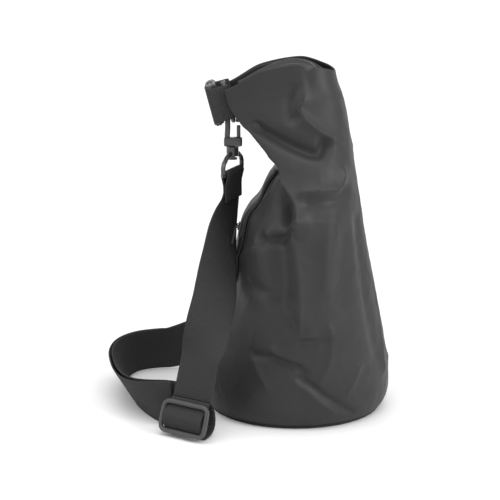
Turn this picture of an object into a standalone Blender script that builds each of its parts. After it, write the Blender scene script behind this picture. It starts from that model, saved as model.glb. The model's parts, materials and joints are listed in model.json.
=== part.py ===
"""Roll-top storage bag with a clip-on shoulder strap, as separate pieces at rest.

The bag stands on the plane z = 0 with its base disc centred on the origin. -Y is the front, where
the two ends of the rolled mouth are clipped together, and +Z is up. Lengths are in metres; the
shapes are written in millimetres and scaled by MM.
"""

import math

import bmesh
import bpy
from mathutils import Matrix, Vector

MM = 0.001
GAP = 0.3  # between pieces that touch on the real bag

# Driving dimensions, in millimetres.
BASE_RADIUS = 80
FABRIC = 1.2
WEBBING = 40
WEBBING_THICK = 1.4
TAB_WIDTH = 30
TAB_THICK = 1.5
WIRE_RADIUS = 2.0
ROLL_HEIGHT = 34
ROLL_LEAN = math.radians(15)

# The front of the closure: the buckle's frame, and the D-ring bar behind the buckle in the same tab.
CLOSURE_CENTRE = Vector((0, -67, 279))
BUCKLE_BAR_X = 22.5
BUCKLE_Y = -5.5
BUCKLE_HALF_WIDTH = 18
D_RING_Y = 7.2
ROLL_END_X = 21.6
D_RING_RADIUS = 17.5
UPPER_HOOK_X = 12.5

# The lower anchor, on the bag's -X side, and how steeply the strap pulls down from it.
ANCHOR = Vector((-94.6, 2, 66))
ANCHOR_PITCH = math.radians(20)
ANCHOR_WEBBING = 25

# The snap hook, along its own +Z from the swivel to the nose.
HOOK_WIRE_Z = 28.4
HOOK_WIRE_Y = 0.6
EYE_BAR_Z = -20
SPINE_Y = -4.2
GATE_Y = 5.4
GATE_PIVOT_Z = 9
HOOK_TOP_Z = 30

# The tri-glide adjuster.
ADJUSTER_CENTRE = Vector((101, -98, 17))
ADJUSTER_TURN = -124
ADJUSTER_LEAN = math.radians(20)
ADJUSTER_HALF_WIDTH = 22.8
ADJUSTER_HALF_HEIGHT = 12.8
ADJUSTER_WIRE = 2.1
ADJUSTER_BAR = 1.5
ADJUSTER_BAR_SET_BACK = -1.4

# The bag's fabric as a cage of half-rings (x, y, z), from the back centre round the +X side to the
# front centre. The lower rings are ellipses; the upper ones carry the wings of the flattened mouth.
HALF_COLUMNS = 8
MOUTH_RINGS = (
    ((0, 56, 211), (38, 52, 213), (68, 39, 215), (80, 18, 215), (72, -4, 221),
     (60, -12, 207), (50, -30, 195), (26, -40, 191), (0, -44, 191)),
    ((0, 50, 245), (31, 47, 247), (53, 31, 251), (58, 2, 251), (46, -36, 243),
     (42, -18, 231), (38, -12, 221), (26, -15, 219), (0, -18, 221)),
    ((0, 44, 281), (27, 41, 283), (43, 22, 288), (40, -20, 283), (27.5, -65, 264),
     (31, -22, 273), (29, 8, 271), (18, 22, 267), (0, 25, 265)),
    ((0, 38, 303), (25, 35, 306), (40, 18, 311), (36, -22, 306), (27.5, -69, 283),
     (31.5, -24, 301), (31.5, 11, 299), (19.5, 26, 295), (0, 28, 293)),
    ((0, 35, 317), (23, 33, 319), (38, 15, 325), (34.5, -24, 321), (27.5, -72, 299),
     (30.5, -24, 319), (30.5, 9, 323), (17.5, 24.5, 317), (0, 27, 315)),
)

# Centre line of the rolled mouth, half of it, as (x, y, height of the roll's middle).
ROLL_ROUTE = ((0, 19, 298), (10, 17, 299), (18, 9, 303), (21.8, -8, 304), (22.3, -30, 295),
              (21.9, -46, 285.5), (21.6, -56.0, 281.8))

# The strap's route: centre point, then the heading of its width and how far that dips, in degrees.
STRAP_TOP = (
    (12.5, -61.2, 186, -20, 0), (16, -62.6, 178, -26, 0), (26, -66.2, 166, -32, 0),
    (37, -68.5, 151, -41, 0), (47, -70.8, 136, -50, 0), (55, -72, 124, -58, 0),
    (63, -73.5, 112, -66, 0), (71, -76, 97, -79, 0), (76.5, -79.5, 82, -98, 0),
)
STRAP_GROUND = (
    (90, -90.5, 3.2, -124, 2), (83, -88, 6.5, -128, 16), (78, -90.5, 12, -134, 36), (74, -97, 17, -142, 62),
    (70, -108, 21.4, -150, 88), (62, -122, 21, -158, 108), (45, -137, 19.5, -165, 126), (22, -149, 21, -172, 138),
    (-8, -158, 26, -176, 140), (-36, -164, 26, -180, 124), (-62, -163, 22.5, -190, 104), (-82, -153, 21.4, -205, 92),
    (-92, -138, 21.4, -230, 90), (-96.5, -118, 22, -270, 90),
)

MATERIALS = {
    "coated_fabric": ((0.055, 0.055, 0.056), 0.55, 0.0),
    "webbing": ((0.045, 0.044, 0.045), 0.8, 0.0),
    "moulded_plastic": ((0.03, 0.03, 0.03), 0.45, 0.0),
    "black_metal": ((0.05, 0.05, 0.052), 0.3, 0.9),
    "zip_tape": ((0.035, 0.035, 0.035), 0.35, 0.0),
    "stiffener": ((0.08, 0.08, 0.08), 0.6, 0.0),
}


# ---------------------------------------------------------------- scene helpers

def clear_scene():
    for obj in list(bpy.data.objects):
        bpy.data.objects.remove(obj)


def make_collections():
    parts = bpy.data.collections.new("roll_top_bag")
    cutters = bpy.data.collections.new("cutters")
    for collection in (parts, cutters):
        bpy.context.scene.collection.children.link(collection)
    return parts, cutters


def make_material(name):
    colour, roughness, metallic = MATERIALS[name]
    material = bpy.data.materials.new(name)
    material.use_nodes = True
    shader = material.node_tree.nodes["Principled BSDF"]
    shader.inputs["Base Color"].default_value = (*colour, 1)
    shader.inputs["Roughness"].default_value = roughness
    shader.inputs["Metallic"].default_value = metallic
    return material


def joint_empty(name, place):
    empty = bpy.data.objects.new(name, None)
    empty.location = Vector(place) * MM
    PARTS.objects.link(empty)
    bpy.context.view_layer.update()
    return empty


def finish(obj, material, parent=None, smooth=True):
    """Gives a piece its material and its joint's empty, and puts it among the parts."""
    obj.data.materials.clear()
    obj.data.materials.append(SHADES[material])
    for collection in list(obj.users_collection):
        collection.objects.unlink(obj)
    PARTS.objects.link(obj)
    if parent:
        bpy.context.view_layer.update()
        world = obj.matrix_world.copy()
        obj.parent = parent
        obj.matrix_parent_inverse = parent.matrix_world.inverted()
        obj.matrix_world = world
    if smooth and obj.type == "MESH":
        obj.data.shade_smooth()
        obj.data.set_sharp_from_angle(angle=math.radians(40))
    return obj


def new_mesh_object(name, mesh):
    obj = bpy.data.objects.new(name, mesh)
    bpy.context.scene.collection.objects.link(obj)
    return obj


def from_bmesh(name, shape):
    mesh = bpy.data.meshes.new(name)
    shape.to_mesh(mesh)
    shape.free()
    return new_mesh_object(name, mesh)


def box(name, low, high, bevel=0.0, frame=None):
    """A box between two corners, with its edges rounded, in the given frame."""
    low, high = Vector(low) * MM, Vector(high) * MM
    shape = bmesh.new()
    bmesh.ops.create_cube(shape, size=1)
    size = high - low
    bmesh.ops.scale(shape, vec=size, verts=shape.verts)
    bmesh.ops.translate(shape, vec=(low + high) / 2, verts=shape.verts)
    if bevel:
        bmesh.ops.bevel(shape, geom=shape.edges[:], offset=bevel * MM, segments=2,
                        affect="EDGES", profile=0.5)
    obj = from_bmesh(name, shape)
    if frame:
        obj.matrix_world = frame
    return obj


def cylinder(name, start, end, radius, sides=16, frame=None):
    """A round bar from start to end."""
    start, end = Vector(start) * MM, Vector(end) * MM
    axis = end - start
    shape = bmesh.new()
    bmesh.ops.create_cone(shape, cap_ends=True, segments=sides, radius1=radius * MM,
                          radius2=radius * MM, depth=axis.length)
    turn = axis.to_track_quat("Z", "Y").to_matrix().to_4x4()
    bmesh.ops.transform(shape, matrix=Matrix.Translation((start + end) / 2) @ turn,
                        verts=shape.verts)
    obj = from_bmesh(name, shape)
    if frame:
        obj.matrix_world = frame
    return obj


def wire(name, points, radius, closed=False, rounds=2, frame=None):
    """A round wire through the points, as a mesh with welded caps."""
    curve = bpy.data.curves.new(name, "CURVE")
    curve.dimensions = "3D"
    curve.bevel_depth = radius * MM
    curve.bevel_resolution = rounds
    curve.use_fill_caps = not closed
    spline = curve.splines.new("POLY")
    spline.points.add(len(points) - 1)
    for target, point in zip(spline.points, points):
        target.co = (*(Vector(point) * MM), 1)
    spline.use_cyclic_u = closed
    source = bpy.data.objects.new(name + "_curve", curve)
    bpy.context.scene.collection.objects.link(source)
    if frame:
        source.matrix_world = frame
    bpy.context.view_layer.update()
    graph = bpy.context.evaluated_depsgraph_get()
    mesh = bpy.data.meshes.new_from_object(source.evaluated_get(graph))
    shape = bmesh.new()
    shape.from_mesh(mesh)
    bmesh.ops.remove_doubles(shape, verts=shape.verts, dist=0.00001)
    shape.to_mesh(mesh)
    shape.free()
    obj = new_mesh_object(name, mesh)
    obj.matrix_world = source.matrix_world.copy()
    bpy.data.objects.remove(source)
    return obj


def combine(target, tools, operation="UNION"):
    """Joins the tools to the target, or cuts them from it, and applies the result."""
    for tool in tools:
        modifier = target.modifiers.new(operation.lower(), "BOOLEAN")
        modifier.operation = operation
        modifier.solver = "EXACT"
        modifier.object = tool
    bpy.context.view_layer.update()
    graph = bpy.context.evaluated_depsgraph_get()
    mesh = bpy.data.meshes.new_from_object(target.evaluated_get(graph))
    target.modifiers.clear()
    target.data = mesh
    for tool in tools:
        bpy.data.objects.remove(tool)
    return target


def shell_of(name, rows, thickness, offset=-1.0, closed_rows=False):
    """A sheet through a grid of points (millimetres), thickened with Solidify."""
    shape = bmesh.new()
    grid = [[shape.verts.new(Vector(p) * MM) for p in row] for row in rows]
    width = len(grid[0])
    for lower, upper in zip(grid, grid[1:]):
        for k in range(width if closed_rows else width - 1):
            j = (k + 1) % width
            shape.faces.new((lower[k], lower[j], upper[j], upper[k]))
    obj = from_bmesh(name, shape)
    modifier = obj.modifiers.new("thickness", "SOLIDIFY")
    modifier.thickness = thickness * MM
    modifier.offset = offset
    return obj


# ---------------------------------------------------------------- curves and surfaces

def catmull_rom(points, per_span):
    """A smooth curve through points of any dimension, with its ends held."""
    ends = [[2 * a - b for a, b in zip(points[0], points[1])],
            [2 * a - b for a, b in zip(points[-1], points[-2])]]
    held = [ends[0], *points, ends[1]]
    curve = []
    for p0, p1, p2, p3 in zip(held, held[1:], held[2:], held[3:]):
        for k in range(per_span):
            t = k / per_span
            curve.append([0.5 * (2 * b + (c - a) * t + (2 * a - 5 * b + 4 * c - d) * t * t
                                 + (3 * b - a - 3 * c + d) * t ** 3)
                          for a, b, c, d in zip(p0, p1, p2, p3)])
    curve.append(list(points[-1]))
    return curve


def resampled(curve, step):
    """The same curve with points about step apart, measured on its first three numbers."""
    lengths = [0.0]
    for a, b in zip(curve, curve[1:]):
        lengths.append(lengths[-1] + math.dist(a[:3], b[:3]))
    count = max(2, round(lengths[-1] / step))
    spaced, i = [], 0
    for k in range(count + 1):
        at = lengths[-1] * k / count
        while i < len(lengths) - 2 and lengths[i + 1] < at:
            i += 1
        t = (at - lengths[i]) / (lengths[i + 1] - lengths[i])
        spaced.append([a + (b - a) * t for a, b in zip(curve[i], curve[i + 1])])
    return spaced


def thinned(curve, furthest, bend):
    """The same curve with fewer points where it runs straight: bend is in degrees."""
    kept = [curve[0]]
    for here, after in zip(curve[1:], curve[2:]):
        last = Vector(kept[-1][:3])
        before, ahead = Vector(here[:3]) - last, Vector(after[:3]) - Vector(here[:3])
        if before.length < 1.2:
            continue
        if before.length > furthest or math.degrees(before.angle(ahead)) > bend:
            kept.append(here)
    kept.append(curve[-1])
    return kept


def girth(z_back, z_front, y_back, y_front, half_width):
    """Half of an elliptical cage ring, from the back centre round +X to the front centre."""
    middle, reach = (y_back + y_front) / 2, (y_back - y_front) / 2
    ring = []
    for k in range(HALF_COLUMNS + 1):
        turn = math.pi * k / HALF_COLUMNS
        z = z_back + (z_front - z_back) * k / HALF_COLUMNS
        ring.append((half_width * math.sin(turn), middle + reach * math.cos(turn), z))
    return tuple(ring)


def bag_cage():
    """The whole cage, ring by ring, with the -X half mirrored from the +X half."""
    spread = 1 / (2 / 3 + math.cos(math.pi / HALF_COLUMNS) / 3)
    foot = BASE_RADIUS * spread
    halves = (
        girth(2.2, 2.2, foot - 1, 1 - foot, foot - 1),
        girth(6, 6, foot + 4, -foot - 2, foot + 4),
        girth(24, 24, 90, -85, 89),
        girth(59, 59, 85, -77, 89),
        girth(99, 99, 77, -64, 91),
        girth(139, 137, 69, -56, 92),
        girth(177, 167, 62, -50, 89),
    ) + MOUTH_RINGS
    rings = []
    for half in halves:
        mirrored = [(-x, y, z) for x, y, z in half[-2:0:-1]]
        rings.append([Vector(p) for p in (*half, *mirrored)])
    return rings


def spline_weights(t):
    """Uniform cubic B-spline weights."""
    return ((1 - t) ** 3 / 6, (3 * t ** 3 - 6 * t * t + 4) / 6,
            (-3 * t ** 3 + 3 * t * t + 3 * t + 1) / 6, t ** 3 / 6)


def bag_point(cage, column, row):
    """A point of the bag's outer surface. Column 0 is the back centre and 8 the front centre."""
    rows, columns = len(cage), len(cage[0])
    row = min(max(row, 0.0), rows - 1.0)
    r = min(int(row), rows - 2)
    c = math.floor(column)
    row_weights, column_weights = spline_weights(row - r), spline_weights(column - c)
    point = Vector((0, 0, 0))
    for i, row_weight in enumerate(row_weights):
        k = r + i - 1
        for j, column_weight in enumerate(column_weights):
            m = (c + j - 1) % columns
            if k < 0:
                corner = 2 * cage[0][m] - cage[1][m]
            elif k >= rows:
                corner = 2 * cage[-1][m] - cage[-2][m]
            else:
                corner = cage[k][m]
            point += row_weight * column_weight * corner
    return point


def bag_normal(cage, column, row):
    step = 0.05
    along = bag_point(cage, column + step, row) - bag_point(cage, column - step, row)
    up = bag_point(cage, column, row + step) - bag_point(cage, column, row - step)
    return up.cross(along).normalized()


def raised(cage, column, row, lift):
    return bag_point(cage, column, row) + lift * bag_normal(cage, column, row)


# ---------------------------------------------------------------- the bag

def make_bag_body(cage):
    columns, rows = 40, 26
    last = len(cage) - 1
    grid = [[bag_point(cage, len(cage[0]) * k / columns, last * r / rows)
             for k in range(columns)] for r in range(rows + 1)]
    body = shell_of("bag_body", grid, FABRIC, offset=1.0, closed_rows=True)
    finish(body, "coated_fabric")


def make_base_panel():
    bpy.ops.mesh.primitive_cylinder_add(vertices=48, radius=(BASE_RADIUS - 1.5) * MM,
                                        depth=1.8 * MM, location=(0, 0, 0.9 * MM))
    base = bpy.context.object
    base.name = "base_panel"
    finish(base, "coated_fabric")


def make_base_tape():
    """The welded tape ring inside the bag over the seam between the body and the base."""
    profile = ((70, 2.1), (76.2, 2.1), (76.2, 9.0), (75.4, 9.0), (75.4, 2.9), (70, 2.9))
    shape = bmesh.new()
    corners = [shape.verts.new((r * MM, 0, z * MM)) for r, z in reversed(profile)]
    for a, b in zip(corners, corners[1:] + corners[:1]):
        shape.edges.new((a, b))
    tape = from_bmesh("base_seam_tape", shape)
    screw = tape.modifiers.new("turn", "SCREW")
    screw.steps = screw.render_steps = 36
    screw.use_merge_vertices = True
    screw.merge_threshold = 0.00005
    finish(tape, "coated_fabric")


def roll_profile():
    """A flattened spiral, as (outwards, up): 1.25 turns of the doubled mouth round the stiffeners."""
    sheet, growth, core = 1.2, 1.5, 1.4
    steps, turns = 6, 1.25
    outer, inner = [], []
    count = int(turns * steps * 2)
    for k in range(count + 1):
        turn = 2 * math.pi * turns * k / count
        half_thick = core + growth * turn / (2 * math.pi)
        reach = ROLL_HEIGHT / 2 - 3.3 + half_thick - core
        across, up = math.cos(turn), math.sin(turn)
        flat = abs(up) ** 0.45 * (1 if up >= 0 else -1)
        inner.append((half_thick * across, (reach - sheet) * flat))
        outer.append(((half_thick + sheet) * across, reach * flat))
    return outer + inner[::-1]


def roll_frames(step=7.0):
    """Points along the roll with its outward and upward directions, from the -X end to the +X end."""
    half = [list(p) for p in ROLL_ROUTE]
    whole = [[-x, y, z] for x, y, z in half[:0:-1]] + half
    line = resampled(catmull_rom(whole, 8), step)
    frames = []
    for k, point in enumerate(line):
        ahead = Vector(line[min(k + 1, len(line) - 1)]) - Vector(line[max(k - 1, 0)])
        ahead.z = 0
        ahead.normalize()
        outwards = Vector((-ahead.y, ahead.x, 0))
        lean = ROLL_LEAN * min(1, max(0, -point[1] / 50))
        up = Vector((0, -math.sin(lean), math.cos(lean)))
        frames.append((Vector(point), outwards, up))
    return frames


def sweep(name, profile, frames):
    """A closed solid with the profile (outwards, up) carried along the frames."""
    shape = bmesh.new()
    rings = []
    for centre, outwards, up in frames:
        rings.append([shape.verts.new((centre + a * outwards + b * up) * MM) for a, b in profile])
    count = len(profile)
    for first, second in zip(rings, rings[1:]):
        for k in range(count):
            j = (k + 1) % count
            shape.faces.new((first[k], first[j], second[j], second[k]))
    for ring in (rings[0], rings[-1]):
        shape.faces.new(ring)
    bmesh.ops.recalc_face_normals(shape, faces=shape.faces)
    return from_bmesh(name, shape)


def strip_profile(outwards, thick, height):
    return ((outwards - thick / 2, -height / 2), (outwards + thick / 2, -height / 2),
            (outwards + thick / 2, height / 2), (outwards - thick / 2, height / 2))


def make_rolled_mouth():
    roll = sweep("rolled_mouth", roll_profile(), roll_frames())
    finish(roll, "coated_fabric")
    for name, offset in (("stiffener_outer", 0.7), ("stiffener_inner", -0.7)):
        frames = roll_frames()[1:-1]
        strip = sweep(name, strip_profile(offset, 0.8, 20), frames)
        finish(strip, "stiffener")


def make_pocket(cage):
    """The welded pocket panel on the sloping front, its zip tape and the zip's slider and pull."""
    rows, columns = 16, 8
    low_row, high_row = 4.6, 8.0
    grid = [[raised(cage, 7.0 + 2.0 * k / columns, low_row + (high_row - low_row) * r / rows, 0.5)
             for k in range(columns + 1)] for r in range(rows + 1)]
    panel = shell_of("pocket_panel", grid, 1.0)
    finish(panel, "coated_fabric")
    low_row, high_row = 5.8, 7.9
    grid = [[raised(cage, 7.10 + 0.34 * k / 2, low_row + (high_row - low_row) * r / rows, 1.9)
             for k in range(3)] for r in range(rows + 1)]
    tape = shell_of("zip_tape", grid, 0.9)
    finish(tape, "zip_tape")


def zip_frame(cage):
    """The zip slider's place near the zip's lower end, with +Z along its travel and +Y outwards."""
    start, end = raised(cage, 7.27, 6.1, 3.7), raised(cage, 7.27, 6.3, 3.7)
    along = (end - start).normalized()
    out = bag_normal(cage, 7.27, 6.15)
    out = (out - out.dot(along) * along).normalized()
    across = out.cross(along)
    turn = Matrix((across, out, along)).transposed().to_4x4()
    return Matrix.Translation(start * MM) @ turn, along


def make_zip_slider(cage):
    frame, along = zip_frame(cage)
    parent = joint_empty("joint_zip", frame.translation / MM)
    slider = box("zip_slider", (-3, 0, -4), (3, 1.8, 4), 0.6, frame)
    bridge = wire("zip_bridge", ((0, 1.2, -2.4), (0, 3.2, -1.6), (0, 3.2, 1.6), (0, 1.2, 2.4)),
                  0.6, frame=frame)
    combine(slider, [bridge])
    finish(slider, "black_metal", parent)
    hoop = ((-1.6, 2.2, 0.2), (-1.6, 4.4, -1.4), (-1.6, 4.4, -4.0), (1.6, 4.4, -4.0),
            (1.6, 4.4, -1.4), (1.6, 2.2, 0.2))
    pull = wire("zip_pull", hoop, 0.5, closed=True, rounds=1, frame=frame)
    tag = box("zip_tag", (-2.6, 3.7, -17), (2.6, 5.1, -3.6), 0.6, frame)
    combine(pull, [tag])
    finish(pull, "moulded_plastic", parent)
    return along


# ---------------------------------------------------------------- webbing

def ribbon(name, stations, width, thickness):
    """Webbing through (point, width direction) stations, thickened about its middle."""
    rows = [[centre - side * (width / 2), centre, centre + side * (width / 2)]
            for centre, side in stations]
    return shell_of(name, rows, thickness, offset=0.0)


def folded(path, side, to_world):
    """Stations along a flat path of (a, b) points, carried into the world by to_world(a, b)."""
    line = resampled(catmull_rom([list(p) + [0] for p in path], 6), 1.9)
    return [(to_world(a, b), side) for a, b, _ in line]


def arc(centre, radius, start, end, count=8):
    """Points (a, b) round a centre from one angle to another, in degrees."""
    angles = [math.radians(start + (end - start) * k / count) for k in range(count + 1)]
    return tuple((centre[0] + radius * math.cos(t), centre[1] + radius * math.sin(t)) for t in angles)


def width_direction(heading, dip):
    heading, dip = math.radians(heading), math.radians(dip)
    return Vector((math.cos(heading) * math.cos(dip), math.sin(heading) * math.cos(dip),
                   -math.sin(dip)))


def strap_stations(route, furthest=9.0):
    """Stations along a strap route, with each width direction square to the strap."""
    line = thinned(resampled(catmull_rom([list(p) for p in route], 10), 1.0), furthest, 9)
    stations = []
    for k, values in enumerate(line):
        ahead = Vector(line[min(k + 1, len(line) - 1)][:3]) - Vector(line[max(k - 1, 0)][:3])
        ahead.normalize()
        side = width_direction(values[3], values[4])
        side = (side - side.dot(ahead) * ahead).normalized()
        centre = Vector(values[:3])
        lowest = WEBBING / 2 * abs(side.z) + WEBBING_THICK
        centre.z = max(centre.z, lowest)
        stations.append((centre, side, ahead))
    return stations


def shifted(stations, offset):
    return [(centre + offset * ahead.cross(side), side) for centre, side, ahead in stations]


def adjuster_axes():
    """The adjuster's width, upward and outward directions."""
    across = width_direction(ADJUSTER_TURN, 0)
    level = Vector((-across.y, across.x, 0))
    up = (Vector((0, 0, 1)) * math.cos(ADJUSTER_LEAN) - level * math.sin(ADJUSTER_LEAN)).normalized()
    out = up.cross(across)
    return across, up, (out if out.x > 0 else -out)


def adjuster_point(up_by, out_by):
    across, up, out = adjuster_axes()
    return ADJUSTER_CENTRE + up_by * up + out_by * out


# ---------------------------------------------------------------- closure hardware

def closure_frame():
    turn = Matrix.Rotation(ROLL_LEAN, 4, "X")
    return Matrix.Translation(CLOSURE_CENTRE * MM) @ turn


def closure_point(x, y, z=0.0):
    return (closure_frame() @ (Vector((x, y, z)) * MM)) / MM


def d_ring_points():
    """A D lying in (depth, height): its straight bar at depth 0 and its bow towards +depth."""
    points = [(0, -14.5), (0.9, -16.7)]
    for k in range(0, 13):
        turn = math.pi * k / 12
        points.append((3 + D_RING_RADIUS * math.sin(turn), -D_RING_RADIUS * math.cos(turn)))
    return points + [(0.9, 16.7), (0, 14.5)]


def make_closure_tabs(male_parent):
    """The two webbing tabs that hold the buckle halves, folded round their bars."""
    clear = 2 + GAP + TAB_THICK / 2
    path = ((ROLL_END_X + 1.2, 10.4),
            *arc((BUCKLE_BAR_X, D_RING_Y), clear, 35, 0, 2),
            *arc((BUCKLE_BAR_X, BUCKLE_Y), clear, 0, -180),
            *arc((BUCKLE_BAR_X, D_RING_Y), clear, 180, 145, 2),
            (ROLL_END_X - 1.2, 10.4))
    up = closure_frame().to_3x3() @ Vector((0, 0, 1))
    for name, side, parent in (("closure_tab_right", 1, None), ("closure_tab_left", -1, male_parent)):
        stations = folded(path, up, lambda a, b, side=side: closure_point(side * a, b))
        tab = ribbon(name, stations, TAB_WIDTH, TAB_THICK)
        finish(tab, "webbing", parent)


def make_buckle(male_parent, arm_parents):
    frame = closure_frame()
    y0, half = BUCKLE_Y, BUCKLE_HALF_WIDTH
    female = box("buckle_socket", (-8, y0 - 4.6, -half), (18, y0 + 4.6, half), 1.6, frame)
    cavity = box("cavity", (-9, y0 - 2.4, -half - 1), (12, y0 + 2.4, half + 1), 0, frame)
    combine(female, [cavity], "DIFFERENCE")
    bar = cylinder("bar", (BUCKLE_BAR_X, y0, -half + 0.4), (BUCKLE_BAR_X, y0, half - 0.4), 2, frame=frame)
    cheeks = [box("cheek", (14, y0 - 2.5, min(s * 15.9, s * half)),
                  (24.4, y0 + 2.5, max(s * 15.9, s * half)), 0.6, frame) for s in (-1, 1)]
    rib = box("rib", (-6, y0 - 3, -1.2), (13, y0 + 3, 1.2), 0, frame)
    combine(female, [bar, *cheeks, rib])
    finish(female, "moulded_plastic")

    male = box("buckle_plug", (-18, y0 - 4.4, -half), (-8.4, y0 + 4.4, half), 1.4, frame)
    bar = cylinder("bar", (-BUCKLE_BAR_X, y0, -half + 0.4), (-BUCKLE_BAR_X, y0, half - 0.4), 2, frame=frame)
    cheeks = [box("cheek", (-24.4, y0 - 2.5, min(s * 15.9, s * half)),
                  (-14, y0 + 2.5, max(s * 15.9, s * half)), 0.6, frame) for s in (-1, 1)]
    guides = [box("guide", (-10, y0 - 1.9, min(s * 1.7, s * 4.4)),
                  (10.5, y0 + 1.9, max(s * 1.7, s * 4.4)), 0.5, frame) for s in (-1, 1)]
    combine(male, [bar, *cheeks, *guides])
    finish(male, "moulded_plastic", male_parent)

    for s, name in ((1, "release_arm_top"), (-1, "release_arm_bottom")):
        lows, highs = min(s * 11, s * 13.6), max(s * 11, s * 13.6)
        arm = box(name, (-8.1, y0 - 1.9, lows), (8, y0 + 1.9, highs), 0.5, frame)
        lows, highs = min(s * 12, s * half), max(s * 12, s * half)
        pad = box("pad", (0.5, y0 - 1.9, lows), (9.5, y0 + 1.9, highs), 1.2, frame)
        combine(arm, [pad])
        finish(arm, "moulded_plastic", arm_parents[s])


def make_d_ring(name, parent, to_world):
    ring = wire(name, [to_world(a, b) for a, b in d_ring_points()], WIRE_RADIUS, closed=True, rounds=3)
    finish(ring, "black_metal", parent)


def make_snap_hook(prefix, frame, eye_turn, hook_parent, gate_parent, eye_parent):
    """A swivel snap hook: body, sprung gate on its pin, and the webbing eye on its swivel."""
    spine = [(0, SPINE_Y, 5), (0, SPINE_Y - 0.4, 12), (0, SPINE_Y, 20)]
    middle = (SPINE_Y + GATE_Y) / 2
    reach = (GATE_Y - SPINE_Y) / 2
    for k in range(9):
        turn = math.pi * (1 - k / 8)
        spine.append((0, middle + reach * math.cos(turn), HOOK_TOP_Z - 0.6 + reach * math.sin(turn)))
    spine.append((0, GATE_Y, 25))
    hook = wire(prefix + "_body", spine, 2.5, rounds=3, frame=frame)
    base = box("base", (-4.2, -7.6, 3.2), (4.2, 8.6, 11.4), 1.6, frame)
    shank = cylinder("shank", (0, 0, -6.6), (0, 0, 5), 2.2, frame=frame)
    combine(hook, [base, shank])
    slot = box("slot", (-1.9, 1.6, 5.6), (1.9, 9.6, 13), 0, frame)
    pin_hole = cylinder("pin_hole", (-6, GATE_Y, GATE_PIVOT_Z), (6, GATE_Y, GATE_PIVOT_Z), 1.0, frame=frame)
    combine(hook, [slot, pin_hole], "DIFFERENCE")
    finish(hook, "black_metal", hook_parent)

    gate = box(prefix + "_gate", (-1.5, GATE_Y - 1.7, 6.4), (1.5, GATE_Y + 1.7, 22.1), 0.8, frame)
    bore = cylinder("bore", (-6, GATE_Y, GATE_PIVOT_Z), (6, GATE_Y, GATE_PIVOT_Z), 1.0, frame=frame)
    combine(gate, [bore], "DIFFERENCE")
    finish(gate, "black_metal", gate_parent)

    pin = cylinder(prefix + "_gate_pin", (-4.0, GATE_Y, GATE_PIVOT_Z), (4.0, GATE_Y, GATE_PIVOT_Z),
                   0.85, 12, frame)
    finish(pin, "black_metal", hook_parent)
    coil = [(0.7 * math.cos(k), 1.9 + 1.3 * k / 18.85, GATE_PIVOT_Z - 0.4 + 0.7 * math.sin(k))
            for k in [j * 0.785 for j in range(25)]]
    spring = wire(prefix + "_gate_spring", coil, 0.16, rounds=0, frame=frame)
    finish(spring, "black_metal", hook_parent)

    eye_frame = frame @ Matrix.Rotation(eye_turn, 4, "Z")
    right = ((21.4, 0, EYE_BAR_Z), (23.2, 0, -17.5), (23.2, 0, -12.5), (21.2, 0, -9.2), (14, 0, -5.0),
             (6, 0, -3))
    outline = (*((-x, y, z) for x, y, z in right[::-1]), *right)
    eye = wire(prefix + "_eye", outline, 2.1, closed=True, rounds=3, frame=eye_frame)
    boss = cylinder("boss", (0, 0, -5.2), (0, 0, 2.8), 5.4, 20, eye_frame)
    combine(eye, [boss])
    bore = cylinder("bore", (0, 0, -8), (0, 0, 6), 2.5, frame=eye_frame)
    combine(eye, [bore], "DIFFERENCE")
    finish(eye, "black_metal", eye_parent)

    head = cylinder(prefix + "_rivet_head", (0, 0, -8.4), (0, 0, -6.9), 4.2, frame=frame)
    finish(head, "black_metal", hook_parent)


def upper_hook_frame():
    """The upper hook hangs plumb from the lower bow of the D-ring."""
    depth = BUCKLE_BAR_X - UPPER_HOOK_X
    height = -math.sqrt(D_RING_RADIUS ** 2 - (depth - 3) ** 2)
    contact = closure_point(UPPER_HOOK_X, D_RING_Y, height)
    origin = contact - Vector((0, HOOK_WIRE_Y, HOOK_WIRE_Z))
    return Matrix.Translation(origin * MM), contact


def lower_hook_frame():
    """The lower hook points back and up to the bow of the anchor's D-ring."""
    pitch = anchor_pitch()
    contact = ANCHOR + pitch @ Vector((0, -3 - D_RING_RADIUS, 0))
    turn = pitch.to_4x4() @ Matrix(((0, 1, 0), (0, 0, 1), (1, 0, 0))).to_4x4()
    origin = contact - (turn.to_3x3() @ Vector((0, HOOK_WIRE_Y, HOOK_WIRE_Z)))
    return Matrix.Translation(origin * MM) @ turn, contact


def anchor_pitch():
    return Matrix.Rotation(ANCHOR_PITCH, 3, "X")


def make_adjuster(parent):
    across, up, out = adjuster_axes()
    turn = Matrix((across, up, out)).transposed().to_4x4()
    frame = Matrix.Translation(ADJUSTER_CENTRE * MM) @ turn
    half_width, half_height = ADJUSTER_HALF_WIDTH, ADJUSTER_HALF_HEIGHT
    corner = 5.0
    outline = []
    for centre_x, centre_y, start in ((half_width - corner, half_height - corner, 0),
                                      (corner - half_width, half_height - corner, 90),
                                      (corner - half_width, corner - half_height, 180),
                                      (half_width - corner, corner - half_height, 270)):
        for k in range(4):
            angle = math.radians(start + 30 * k)
            outline.append((centre_x + corner * math.cos(angle), centre_y + corner * math.sin(angle), 0))
    slider = wire("adjuster", outline, ADJUSTER_WIRE, closed=True, rounds=3, frame=frame)
    bar = cylinder("bar", (-half_width, 0, ADJUSTER_BAR_SET_BACK), (half_width, 0, ADJUSTER_BAR_SET_BACK),
                   ADJUSTER_BAR, 12, frame)
    combine(slider, [bar])
    finish(slider, "moulded_plastic", parent)


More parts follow.
